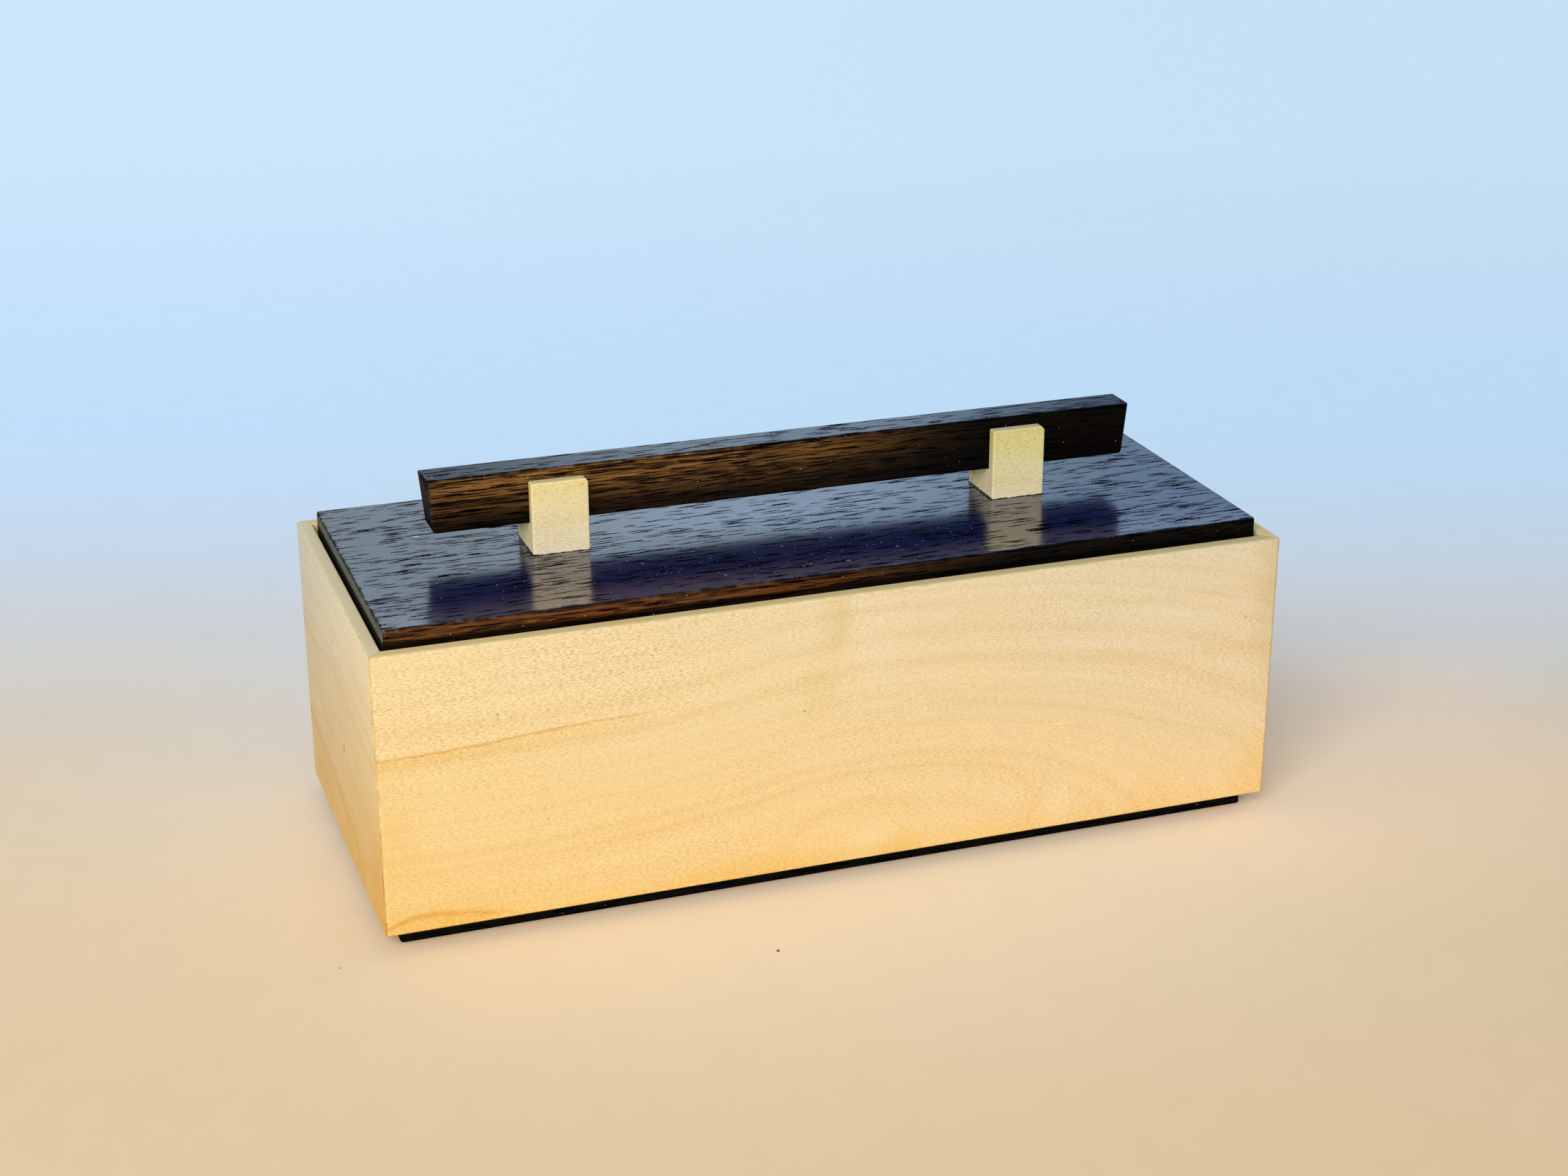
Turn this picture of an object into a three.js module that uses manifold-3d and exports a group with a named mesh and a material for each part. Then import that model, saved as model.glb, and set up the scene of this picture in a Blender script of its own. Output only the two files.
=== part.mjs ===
// A small lidded keepsake box: four mitred maple walls, a wenge base and a lift-off
// wenge lid with a bar handle held in two maple saddle blocks.
// Millimetres, +Z up, front towards -Y, the base's underside at Z = 0.

import * as THREE from 'three';
import { mergeVertices, toCreasedNormals } from 'three/addons/utils/BufferGeometryUtils.js';
import Module from 'manifold-3d';

const wasm = await Module();
wasm.setup();

// Walls
const BOX_LENGTH = 254;
const BOX_DEPTH = 105.5;
const WALL_HEIGHT = 77.7;
const WALL_STOCK = 12.7;
const RIM_WIDTH = 3.9;
const MITRE_GAP = 0.3;
const CORNER_RADIUS = 1;
const RIM_ARRIS = 0.8;
const ARRIS = 0.45;

// Panels that drop into the walls' rabbets
const PANEL_STOCK = 9.5;
const LID_PROUD = 4.4;
const BASE_PROUD = 5;
const LID_END_GAP = 1;
const LID_SIDE_GAP = 2;
const BASE_GAP = 0.7;
const PANEL_CORNER = 1;

// Loose splines hidden in the mitres
const SPLINE_STOCK = 3;
const SPLINE_WIDTH = 9;
const SPLINE_HEIGHT = 48;
const FIT_GAP = 0.3;

// Handle, set a little to the right of the lid's middle
const HANDLE_OFFSET = 0.8;
const BAR_LENGTH = 203.7;
const BAR_DEPTH = 10.1;
const BAR_HEIGHT = 14.95;
const BAR_UNDERCUT = 1.5;
const BAR_FOOT_RADIUS = 0.9;
const BLOCK_SPACING = 133.1;
const BLOCK_WIDTH = 15.7;
const BLOCK_DEPTH = 16.8;
const BLOCK_HEIGHT = 20.2;
const BLOCK_WEB = 8.15;
const UPRIGHT_STOCK = 3.2;
const LEFT_BLOCK_RUBBED = 1.7;
const RIGHT_BLOCK_CLIPPED = 1.1;

// Countersunk slotted wood screws
const HANDLE_SCREW = { gauge: 3.5, head: 6.8, length: 28, pitch: 1.4 };
const BASE_SCREW = { gauge: 2.8, head: 5.3, length: 15.5, pitch: 1.15 };
const SCREW_RECESS = 0.3;
const BASE_SCREW_INSET = 8.4;
const BASE_SCREW_END_INSET = 22;
const HEAD_RIM_SHARE = 0.06;
const THREADED_SHARE = 0.64;
const POINT_SHARE = 0.16;
const ROOT_SHARE = 0.7;
const SLOT_WIDTH_SHARE = 0.15;
const SLOT_DEPTH_SHARE = 0.16;
const RIDGE_SHARE = 0.5;
const TURN_STEPS = 4;
const ROUND_STEPS = 14;
const EDGE_STEPS = 3;
const EASING_STEPS = 2;
const CREASE_ANGLE = THREE.MathUtils.degToRad(32);

// How far a cutter runs past the face it cuts
const OVERRUN = 2;

// Heights above the ground
const WALL_FOOT = BASE_PROUD;
const WALL_TOP = WALL_FOOT + WALL_HEIGHT;
const LID_TOP = WALL_TOP + LID_PROUD;
const LID_UNDER = LID_TOP - PANEL_STOCK;
const TOP_RABBET = WALL_TOP - LID_UNDER;
const BOTTOM_RABBET = PANEL_STOCK - WALL_FOOT;
const BAR_FOOT = LID_TOP + BLOCK_WEB;

const finish = (name, color, roughness, metalness = 0) =>
  new THREE.MeshStandardMaterial({ name, color, roughness, metalness });

const maple = finish('maple', '#d9b272', 0.45);
const blockMaple = finish('block_maple', '#dcb77c', 0.45);
const splineWood = finish('spline_maple', '#c9a878', 0.7);
const lidWenge = finish('lid_wenge', '#3a2c28', 0.35);
const barWenge = finish('bar_wenge', '#382822', 0.35);
const baseWenge = finish('base_wenge', '#2b211d', 0.45);
const brass = finish('brass', '#b58b45', 0.35, 1);

// Solid modelling

function solid(geometry) {
  const closed = geometry.clone();
  closed.deleteAttribute('normal');
  closed.deleteAttribute('uv');
  const merged = mergeVertices(closed);
  return new wasm.Manifold(new wasm.Mesh({
    numProp: 3,
    vertProperties: new Float32Array(merged.attributes.position.array),
    triVerts: new Uint32Array(merged.index.array),
  }));
}

function shell(manifold) {
  const mesh = manifold.getMesh();
  const geometry = new THREE.BufferGeometry();
  geometry.setAttribute('position', new THREE.BufferAttribute(mesh.vertProperties, mesh.numProp));
  geometry.setIndex(new THREE.BufferAttribute(mesh.triVerts, 1));
  return toCreasedNormals(geometry, CREASE_ANGLE);
}

function without(manifold, cutters) {
  return cutters.reduce((rest, cutter) => rest.subtract(cutter), manifold);
}

// An outline with each of its corners rounded off by the radius given with it.
function roundedOutline(corners) {
  const shape = new THREE.Shape();
  corners.forEach(([x, y, radius], i) => {
    const here = new THREE.Vector2(x, y);
    const last = new THREE.Vector2(...corners.at(i - 1));
    const next = new THREE.Vector2(...corners[(i + 1) % corners.length]);
    const start = here.clone().add(last.sub(here).setLength(radius));
    const end = here.clone().add(next.sub(here).setLength(radius));
    if (i === 0) shape.moveTo(start.x, start.y);
    else shape.lineTo(start.x, start.y);
    if (radius > 0) shape.quadraticCurveTo(here.x, here.y, end.x, end.y);
  });
  shape.closePath();
  return shape;
}

function rectangle(width, height, radius) {
  const x = width / 2;
  const y = height / 2;
  return roundedOutline([[-x, -y, radius], [x, -y, radius], [x, y, radius], [-x, y, radius]]);
}

function extrude(shape, depth) {
  return new THREE.ExtrudeGeometry(shape, { depth, bevelEnabled: false, curveSegments: EDGE_STEPS });
}

// Extruded with its edges eased all round, within the outline and the depth given.
function easedExtrude(shape, depth, easing) {
  const geometry = new THREE.ExtrudeGeometry(shape, {
    depth: depth - 2 * easing,
    bevelThickness: easing,
    bevelSize: easing,
    bevelOffset: -easing,
    bevelSegments: EASING_STEPS,
    curveSegments: EASING_STEPS,
  });
  return geometry.translate(0, 0, easing);
}

// Walls

// The section looks along the wall: the outer face is at Y = 0, the inner at Y = WALL_STOCK.
function wallSection() {
  const ledge = WALL_HEIGHT - TOP_RABBET;
  return roundedOutline([
    [0, 0, ARRIS],
    [RIM_WIDTH, 0, ARRIS],
    [RIM_WIDTH, BOTTOM_RABBET, 0],
    [WALL_STOCK, BOTTOM_RABBET, ARRIS],
    [WALL_STOCK, ledge, ARRIS],
    [RIM_WIDTH, ledge, 0],
    [RIM_WIDTH, WALL_HEIGHT, ARRIS],
    [0, WALL_HEIGHT, RIM_ARRIS],
  ]);
}

function mitredPlan(length) {
  const tip = length / 2 - MITRE_GAP * Math.SQRT1_2;
  const heel = tip - WALL_STOCK;
  const plan = new THREE.Shape();
  plan.moveTo(-tip, 0);
  plan.lineTo(tip, 0);
  plan.lineTo(heel, WALL_STOCK);
  plan.lineTo(-heel, WALL_STOCK);
  plan.closePath();
  return plan;
}

function splineSolid(clearance) {
  const outline = rectangle(SPLINE_WIDTH + 2 * clearance, SPLINE_STOCK + 2 * clearance, 0);
  const height = SPLINE_HEIGHT + 2 * clearance;
  return extrude(outline, height).translate(0, 0, -height / 2);
}

// The spline crosses the middle of the mitre, square to it.
function splinePlace(geometry, length, side) {
  return geometry
    .rotateZ(-side * Math.PI / 4)
    .translate(side * (length - WALL_STOCK) / 2, WALL_STOCK / 2, WALL_HEIGHT / 2);
}

// A wall lies along X with its outer face at Y = 0 and its foot at Z = 0.
function wallBlank(length) {
  const bar = extrude(wallSection(), length)
    .rotateX(Math.PI / 2)
    .rotateZ(Math.PI / 2)
    .translate(-length / 2, 0, 0);
  const easedCorners = extrude(rectangle(length, length, CORNER_RADIUS), WALL_HEIGHT)
    .translate(0, length / 2, 0);
  const grooves = [-1, 1].map((side) => solid(splinePlace(splineSolid(FIT_GAP), length, side)));
  const mitred = solid(bar)
    .intersect(solid(extrude(mitredPlan(length), WALL_HEIGHT)))
    .intersect(solid(easedCorners));
  return without(mitred, grooves);
}

function longWall() {
  const pilots = baseScrewPositions()
    .filter(([, y]) => y < 0)
    .map(([x]) => solid(screwHole(BASE_SCREW).translate(x, BASE_SCREW_INSET, -WALL_FOOT)));
  return shell(without(wallBlank(BOX_LENGTH), pilots));
}

function shortWall() {
  return shell(wallBlank(BOX_DEPTH));
}

// Screws

// Rings from the head's flat face to the point, as [height, radius, thread depth].
function screwRings({ gauge, head, length, pitch }) {
  const shank = gauge / 2;
  const headRim = head * HEAD_RIM_SHARE;
  const headFoot = headRim + (head - gauge) / 2;
  const threadStart = length * (1 - THREADED_SHARE);
  const pointStart = length * (1 - POINT_SHARE);
  const rings = [[0, head / 2, 0], [headRim, head / 2, 0], [headFoot, shank, 0], [threadStart, shank, 0]];
  const root = shank * ROOT_SHARE;
  const step = pitch / TURN_STEPS;
  for (let z = threadStart + step; z < length - step; z += step) {
    const taper = Math.min(1, (length - z) / (length - pointStart));
    rings.push([z, root * taper, (shank - root) * taper]);
  }
  rings.push([length, 0, 0]);
  return rings;
}

// A screw stands head down on Z = 0 with its point up.
function screwBody(size) {
  const rings = screwRings(size);
  const positions = [0, 0, 0];
  const faces = [];
  const rounds = rings.slice(0, -1);
  const corner = (ring, turn) => 1 + ring * ROUND_STEPS + (turn % ROUND_STEPS);
  rounds.forEach(([z, radius, depth], ring) => {
    for (let turn = 0; turn < ROUND_STEPS; turn += 1) {
      const angle = (turn / ROUND_STEPS) * 2 * Math.PI;
      const phase = THREE.MathUtils.euclideanModulo(z / size.pitch - turn / ROUND_STEPS, 1);
      const crest = Math.max(0, 1 - Math.abs(2 * phase - 1) / RIDGE_SHARE);
      const reach = radius + depth * crest;
      positions.push(reach * Math.cos(angle), reach * Math.sin(angle), z);
      faces.push(...bandFaces(ring, turn, corner, rounds.length));
    }
  });
  positions.push(0, 0, size.length);
  const geometry = new THREE.BufferGeometry();
  geometry.setAttribute('position', new THREE.Float32BufferAttribute(positions, 3));
  geometry.setIndex(faces);
  return geometry;
}

function bandFaces(ring, turn, corner, ringCount) {
  const here = corner(ring, turn);
  const next = corner(ring, turn + 1);
  const apex = 1 + ringCount * ROUND_STEPS;
  const faces = ring === 0 ? [0, next, here] : [];
  if (ring === ringCount - 1) return [...faces, here, next, apex];
  const above = corner(ring + 1, turn);
  const aboveNext = corner(ring + 1, turn + 1);
  return [...faces, here, next, aboveNext, here, aboveNext, above];
}

function woodScrew(size) {
  const depth = size.head * SLOT_DEPTH_SHARE;
  const slot = new THREE.BoxGeometry(2 * size.head, size.head * SLOT_WIDTH_SHARE, 2 * depth);
  return shell(solid(screwBody(size)).subtract(solid(slot)));
}

// The clearance round a screw: a countersink, a bore and a little room past the point.
function screwHole({ gauge, head, length }) {
  const bore = gauge / 2 + FIT_GAP;
  const mouth = head / 2 + FIT_GAP;
  const sinkRim = SCREW_RECESS + head * HEAD_RIM_SHARE;
  const profile = [
    [0, -OVERRUN],
    [mouth, -OVERRUN],
    [mouth, sinkRim],
    [bore, sinkRim + mouth - bore],
    [bore, SCREW_RECESS + length],
    [0, SCREW_RECESS + length + bore],
  ];
  const lathe = new THREE.LatheGeometry(profile.map(([r, y]) => new THREE.Vector2(r, y)), ROUND_STEPS);
  return lathe.rotateX(Math.PI / 2);
}

function baseScrewPositions() {
  const x = BOX_LENGTH / 2 - BASE_SCREW_END_INSET;
  const y = BOX_DEPTH / 2 - BASE_SCREW_INSET;
  return [-y, y].flatMap((row) => [[-x, row], [0, row], [x, row]]);
}

// Panels, each with its underside at Z = 0

function panel(endGap, sideGap, holes) {
  const length = BOX_LENGTH - 2 * (RIM_WIDTH + endGap);
  const depth = BOX_DEPTH - 2 * (RIM_WIDTH + sideGap);
  const board = easedExtrude(rectangle(length, depth, PANEL_CORNER), PANEL_STOCK, ARRIS);
  return shell(without(solid(board), holes));
}

function basePanel() {
  const holes = baseScrewPositions().map(([x, y]) => solid(screwHole(BASE_SCREW).translate(x, y, 0)));
  return panel(BASE_GAP, BASE_GAP, holes);
}

function lidPanel() {
  const places = blockPositions().map((x) => x + HANDLE_OFFSET);
  const holes = places.map((x) => solid(screwHole(HANDLE_SCREW).translate(x, 0, 0)));
  return panel(LID_END_GAP, LID_SIDE_GAP, holes);
}

// Handle

function blockPositions() {
  return [-BLOCK_SPACING / 2, BLOCK_SPACING / 2];
}

// The bar's ends slope in towards its underside.
function handleBar() {
  const top = BAR_LENGTH / 2;
  const foot = top - BAR_UNDERCUT;
  const side = roundedOutline([
    [-foot, 0, BAR_FOOT_RADIUS],
    [foot, 0, BAR_FOOT_RADIUS],
    [top, BAR_HEIGHT, ARRIS],
    [-top, BAR_HEIGHT, ARRIS],
  ]);
  const bar = easedExtrude(side, BAR_DEPTH, ARRIS)
    .rotateX(Math.PI / 2)
    .translate(0, BAR_DEPTH / 2, 0);
  const drop = -PANEL_STOCK - BLOCK_WEB;
  const holes = blockPositions().map((x) => solid(screwHole(HANDLE_SCREW).translate(x, 0, drop)));
  return shell(without(solid(bar), holes));
}

// What an upper corner of a front upright has lost: a straight chip, or wood rubbed round.
function lostCorner(size, rubbed) {
  const x = BLOCK_WIDTH / 2;
  const z = BLOCK_HEIGHT;
  const lost = new THREE.Shape();
  lost.moveTo(x - size, z + OVERRUN);
  lost.lineTo(x - size, z);
  if (rubbed) lost.quadraticCurveTo(x, z, x, z - size);
  else lost.lineTo(x, z - size);
  lost.lineTo(x + OVERRUN, z - size);
  lost.lineTo(x + OVERRUN, z + OVERRUN);
  lost.closePath();
  return solid(extrude(lost, BLOCK_DEPTH / 2 + OVERRUN).rotateX(Math.PI / 2));
}

// A saddle block: the bar drops between two uprights and rests on the web.
function handleBlock(corner) {
  const outer = BLOCK_DEPTH / 2;
  const inner = outer - UPRIGHT_STOCK;
  const section = roundedOutline([
    [-outer, 0, 0],
    [outer, 0, 0],
    [outer, BLOCK_HEIGHT, ARRIS],
    [inner, BLOCK_HEIGHT, ARRIS],
    [inner, BLOCK_WEB, 0],
    [-inner, BLOCK_WEB, 0],
    [-inner, BLOCK_HEIGHT, ARRIS],
    [-outer, BLOCK_HEIGHT, ARRIS],
  ]);
  const saddle = easedExtrude(section, BLOCK_WIDTH, ARRIS)
    .rotateX(Math.PI / 2)
    .rotateZ(Math.PI / 2)
    .translate(-BLOCK_WIDTH / 2, 0, 0);
  const hole = solid(screwHole(HANDLE_SCREW).translate(0, 0, -PANEL_STOCK));
  return shell(without(solid(saddle), [hole, corner]));
}

// Assembly

function piece(name, geometry, material, x = 0, y = 0, z = 0, turn = 0) {
  const mesh = new THREE.Mesh(geometry, material);
  mesh.name = name;
  mesh.position.set(x, y, z);
  mesh.rotation.z = turn;
  return mesh;
}

function walls() {
  const group = new THREE.Group();
  const long = longWall();
  const short = shortWall();
  const x = BOX_LENGTH / 2;
  const y = BOX_DEPTH / 2;
  group.add(piece('front_wall', long, maple, 0, -y, 0));
  group.add(piece('back_wall', long, maple, 0, y, 0, Math.PI));
  group.add(piece('left_wall', short, maple, -x, 0, 0, -Math.PI / 2));
  group.add(piece('right_wall', short, maple, x, 0, 0, Math.PI / 2));
  group.position.z = WALL_FOOT;
  return group;
}

function splines() {
  const group = new THREE.Group();
  const x = (BOX_LENGTH - WALL_STOCK) / 2;
  const y = (BOX_DEPTH - WALL_STOCK) / 2;
  const height = WALL_FOOT + WALL_HEIGHT / 2;
  const spline = splineSolid(0);
  for (const [end, endSign] of [['left', -1], ['right', 1]]) {
    for (const [side, sideSign] of [['front', -1], ['back', 1]]) {
      const turn = (endSign * sideSign * Math.PI) / 4;
      const name = `corner_spline_${side}_${end}`;
      group.add(piece(name, spline, splineWood, endSign * x, sideSign * y, height, turn));
    }
  }
  return group;
}

function baseScrews() {
  const group = new THREE.Group();
  const screw = woodScrew(BASE_SCREW);
  const names = ['front_left', 'front_middle', 'front_right', 'back_left', 'back_middle', 'back_right'];
  baseScrewPositions().forEach(([x, y], i) => {
    group.add(piece(`base_screw_${names[i]}`, screw, brass, x, y, SCREW_RECESS));
  });
  return group;
}

function handle() {
  const group = new THREE.Group();
  const [left, right] = blockPositions();
  const rubbed = handleBlock(lostCorner(LEFT_BLOCK_RUBBED, true));
  const clipped = handleBlock(lostCorner(RIGHT_BLOCK_CLIPPED, false));
  const screw = woodScrew(HANDLE_SCREW);
  const screwFoot = LID_UNDER + SCREW_RECESS;
  group.add(piece('handle_bar', handleBar(), barWenge, 0, 0, BAR_FOOT));
  group.add(piece('left_handle_block', rubbed, blockMaple, left, 0, LID_TOP));
  group.add(piece('right_handle_block', clipped, blockMaple, right, 0, LID_TOP));
  group.add(piece('left_handle_screw', screw, brass, left, 0, screwFoot));
  group.add(piece('right_handle_screw', screw, brass, right, 0, screwFoot));
  group.position.x = HANDLE_OFFSET;
  return group;
}

const group = new THREE.Group();
group.add(walls());
group.add(splines());
group.add(piece('base_panel', basePanel(), baseWenge));
group.add(baseScrews());
group.add(piece('lid_panel', lidPanel(), lidWenge, 0, 0, LID_UNDER));
group.add(handle());

export default group;
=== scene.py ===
import math
import random

import bmesh
import bpy
from mathutils import Matrix, Vector, noise


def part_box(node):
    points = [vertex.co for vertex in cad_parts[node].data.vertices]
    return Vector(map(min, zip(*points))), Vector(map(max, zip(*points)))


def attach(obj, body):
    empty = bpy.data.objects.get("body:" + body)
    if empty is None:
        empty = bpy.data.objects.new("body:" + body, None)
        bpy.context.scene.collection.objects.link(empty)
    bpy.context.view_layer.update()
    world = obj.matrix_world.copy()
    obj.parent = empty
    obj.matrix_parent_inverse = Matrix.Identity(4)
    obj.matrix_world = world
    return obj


# A small maple box with a lift-off wenge lid, a wenge bar handle and two maple saddle blocks.
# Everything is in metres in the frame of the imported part: X along the box, Y from front to back, Z up.
# Grain, pores and wear are worked out in millimetres, which suit them better.

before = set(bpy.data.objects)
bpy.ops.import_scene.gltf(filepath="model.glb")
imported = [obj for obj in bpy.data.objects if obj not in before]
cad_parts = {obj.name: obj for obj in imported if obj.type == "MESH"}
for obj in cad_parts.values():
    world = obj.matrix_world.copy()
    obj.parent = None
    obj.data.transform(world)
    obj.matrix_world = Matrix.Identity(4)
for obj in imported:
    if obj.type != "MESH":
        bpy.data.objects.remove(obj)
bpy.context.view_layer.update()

MM = 0.001

# The photographer's standpoint and lens
CAMERA_PLACE = (-0.22365, -0.63434, 0.32869)
CAMERA_TURN = math.radians(19.428)
CAMERA_TILT = math.radians(21.398)
CAMERA_ROLL = math.radians(-0.106)
LENS = 58.94
FILM_WIDTH = 36

# Light in the room: 1 is the level at which a surface square to it shows its own colour
AMBIENT_LEVEL = 0.48
WINDOW_LEVEL = 0.76
WINDOW_AWAY = 2.4
WINDOW_WIDTH = 1.7
WINDOW_HEIGHT = 1.4
WINDOW_FROM = (-0.49, -0.70, 0.52)


def srgb(red, green, blue):
    """A colour written from 0 to 255 as the light values that shaders take."""
    coded = [value / 255 for value in (red, green, blue)]
    light = [c / 12.92 if c <= 0.04045 else ((c + 0.055) / 1.055) ** 2.4 for c in coded]
    return (*light, 1.0)


# Node work


class Graph:
    """Adds nodes to a tree. An input is a plain value or another node's output."""

    def __init__(self, tree):
        self.tree = tree

    def feed(self, socket, value):
        if isinstance(value, bpy.types.NodeSocket):
            self.tree.links.new(value, socket)
        else:
            socket.default_value = value

    def add(self, kind, inputs=None, **settings):
        made = self.tree.nodes.new(kind)
        for name, value in settings.items():
            setattr(made, name, value)
        for name, value in (inputs or {}).items():
            self.feed(made.inputs[name], value)
        return made

    def math(self, operation, *values):
        made = self.add("ShaderNodeMath", operation=operation)
        for socket, value in zip(made.inputs, values):
            self.feed(socket, value)
        return made.outputs[0]

    def plus(self, *values):
        total = values[0]
        for value in values[1:]:
            total = self.math("ADD", total, value)
        return total

    def less(self, first, second):
        return self.math("SUBTRACT", first, second)

    def times(self, *values):
        product = values[0]
        for value in values[1:]:
            product = self.math("MULTIPLY", product, value)
        return product

    def over(self, first, second):
        return self.math("DIVIDE", first, second)

    def vector(self, operation, first, second):
        made = self.add("ShaderNodeVectorMath", operation=operation)
        self.feed(made.inputs[0], first)
        self.feed(made.inputs[1], second)
        return made.outputs["Value" if operation == "LENGTH" else "Vector"]

    def split(self, vector):
        return self.add("ShaderNodeSeparateXYZ", {"Vector": vector}).outputs

    def join(self, x, y, z):
        return self.add("ShaderNodeCombineXYZ", {"X": x, "Y": y, "Z": z}).outputs[0]

    def share(self, value, low, high):
        """Goes straight from 0 to 1 while value goes from low to high."""
        sockets = {"Value": value, "From Min": low, "From Max": high}
        return self.add("ShaderNodeMapRange", sockets).outputs[0]

    def between(self, value, low, high, start=0.0, end=1.0):
        """Goes smoothly from start to end while value goes from low to high."""
        sockets = {"Value": value, "From Min": low, "From Max": high, "To Min": start, "To Max": end}
        return self.add("ShaderNodeMapRange", sockets, interpolation_type="SMOOTHSTEP").outputs[0]

    def mix(self, share, first, second, blend="MIX"):
        made = self.add("ShaderNodeMix", data_type="RGBA", blend_type=blend, clamp_factor=True)
        inputs = {socket.identifier: socket for socket in made.inputs}
        self.feed(inputs["Factor_Float"], share)
        self.feed(inputs["A_Color"], first)
        self.feed(inputs["B_Color"], second)
        return next(socket for socket in made.outputs if socket.identifier == "Result_Color")

    def tinted(self, share, colour, tint):
        """The colour, with a share of it seen through a tint."""
        return self.mix(share, colour, (*tint, 1.0), "MULTIPLY")

    def noise(self, place, size=None, detail=2.0, roughness=0.5, distortion=0.0):
        """Noise from 0 to 1, around 0.5, as coarse as size along each axis, or else about one unit."""
        if size:
            place = self.vector("MULTIPLY", place, tuple(1 / length for length in size))
        inputs = {"Vector": place, "Scale": 1.0, "Detail": detail, "Roughness": roughness}
        inputs["Distortion"] = distortion
        return self.add("ShaderNodeTexNoise", inputs, noise_dimensions="3D").outputs[0]

    def noise_along(self, distance, detail, roughness):
        """Noise along one line."""
        inputs = {"W": distance, "Scale": 1.0, "Detail": detail, "Roughness": roughness}
        return self.add("ShaderNodeTexNoise", inputs, noise_dimensions="1D").outputs[0]

    def cells(self, along, across):
        """Points scattered about one unit apart: the distance to the nearest, and a colour of its own."""
        inputs = {"Vector": self.join(along, across, 0.0), "Scale": 1.0}
        made = self.add("ShaderNodeTexVoronoi", inputs, voronoi_dimensions="2D", feature="F1")
        return made.outputs["Distance"], made.outputs["Color"]

    def drawn_line(self, along, points):
        """The height, up to 100, of a smooth line drawn through points, at a place along it."""
        first = points[0][0]
        reach = points[-1][0] - first
        made = self.add("ShaderNodeFloatCurve", {"Value": self.share(along, first, first + reach)})
        drawn = made.mapping.curves[0].points
        drawn[0].location = (0.0, points[0][1] / 100)
        drawn[1].location = (1.0, points[-1][1] / 100)
        for place, height in points[1:-1]:
            drawn.new((place - first) / reach, height / 100)
        made.mapping.update()
        return self.times(made.outputs[0], 100.0)

    def effect(self, group, *values):
        """Places a shared effect, fed in the order of its inputs, and gives its outputs."""
        made = self.add("ShaderNodeGroup", node_tree=group)
        for socket, value in zip(made.inputs, values):
            self.feed(socket, value)
        return made.outputs


# What a place and a colour are in an effect until they are fed
ORIGIN = (0, 0, 0)
COLOUR = (0.5, 0.5, 0.5, 1.0)


def socket_type(value):
    """The kind of socket that takes a value: a number, a vector of three or a colour of four."""
    if not isinstance(value, tuple):
        return "NodeSocketFloat"
    return "NodeSocketVector" if len(value) == 3 else "NodeSocketColor"


def effect_group(name, fill, inputs):
    """A new shared effect. The function fill adds its nodes and gives its outputs by name."""
    group = bpy.data.node_groups.new(name, "ShaderNodeTree")
    for label, value in inputs.items():
        socket = group.interface.new_socket(label, in_out="INPUT", socket_type=socket_type(value))
        socket.default_value = value
    graph = Graph(group)
    outputs = fill(graph, graph.add("NodeGroupInput").outputs)
    for label, value in outputs.items():
        kind = "NodeSocketColor" if value.type == "RGBA" else "NodeSocketFloat"
        group.interface.new_socket(label, in_out="OUTPUT", socket_type=kind)
    result = graph.add("NodeGroupOutput").inputs
    for label, value in outputs.items():
        graph.feed(result[label], value)
    return group


# Effects shared by the materials


def board_tones(graph, given):
    """The slow change of tone over a board, from the tones of its four corners."""
    low = graph.mix(given["Along"], given["Low start"], given["Low end"])
    high = graph.mix(given["Along"], given["High start"], given["High end"])
    return {"Tone": graph.mix(given["Up"], low, high)}


def growth_rings(graph, given):
    """Rings of a plain-sawn board, in mm: arched over a crown, drooping before it and domed beyond it."""
    parts = graph.split(given["Place"])
    from_crown = graph.less(parts["X"], given["Crown"])
    beyond = graph.times(graph.math("MAXIMUM", from_crown, 0.0), given["Dome"])
    dome = graph.math("SQRT", graph.plus(graph.times(parts["Y"], parts["Y"]), graph.times(beyond, beyond)))
    before = graph.over(graph.math("MINIMUM", from_crown, 0.0), given["Droop reach"])
    fallen = graph.math("EXPONENT", graph.times(before, before, -1.0))
    droop = graph.times(graph.less(1.0, fallen), given["Droop"])
    slow = graph.noise(given["Place"], (38, 15, 15), detail=3.0)
    waver = graph.times(graph.less(slow, 0.5), given["Waver"], 2.0)
    bent = graph.plus(droop, waver, graph.times(parts["Z"], 0.6))
    return {"Ring": graph.plus(dome, bent), "Lay": graph.plus(parts["Y"], bent)}


def growth_line(graph, given):
    """One dark late-wood line at a given height up the board, with the darker wood that lies under it."""
    fine = graph.noise(given["Place"], (6, 2.5, 2.5), detail=3.0)
    up = graph.plus(graph.split(given["Place"])["Y"], graph.times(graph.less(fine, 0.5), 1.3))
    under = graph.less(given["Line height"], up)
    broken = graph.between(fine, 0.25, 0.6, 0.55, 1.0)
    line = graph.between(graph.math("ABSOLUTE", under), 0.0, given["Width"], 1.0, 0.0)
    below = graph.between(under, -0.4, 0.4)
    fading = graph.between(under, 0.0, given["Shade depth"], 1.0, 0.0)
    return {"Line": graph.times(line, broken), "Shade": graph.times(below, fading)}


def ripple_figure(graph, given):
    """The short wavy flecks of maple, which lie along the grain: from -1 to 1."""
    parts = graph.split(given["Place"])
    along = graph.over(parts["X"], given["Length"])
    across = graph.over(given["Lay"], given["Spacing"])
    through = graph.over(parts["Z"], given["Length"])
    flecks = graph.noise(graph.join(along, across, through), detail=1.0, roughness=0.6, distortion=0.5)
    return {"Ripple": graph.between(flecks, 0.28, 0.72, -1.0, 1.0)}


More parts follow.
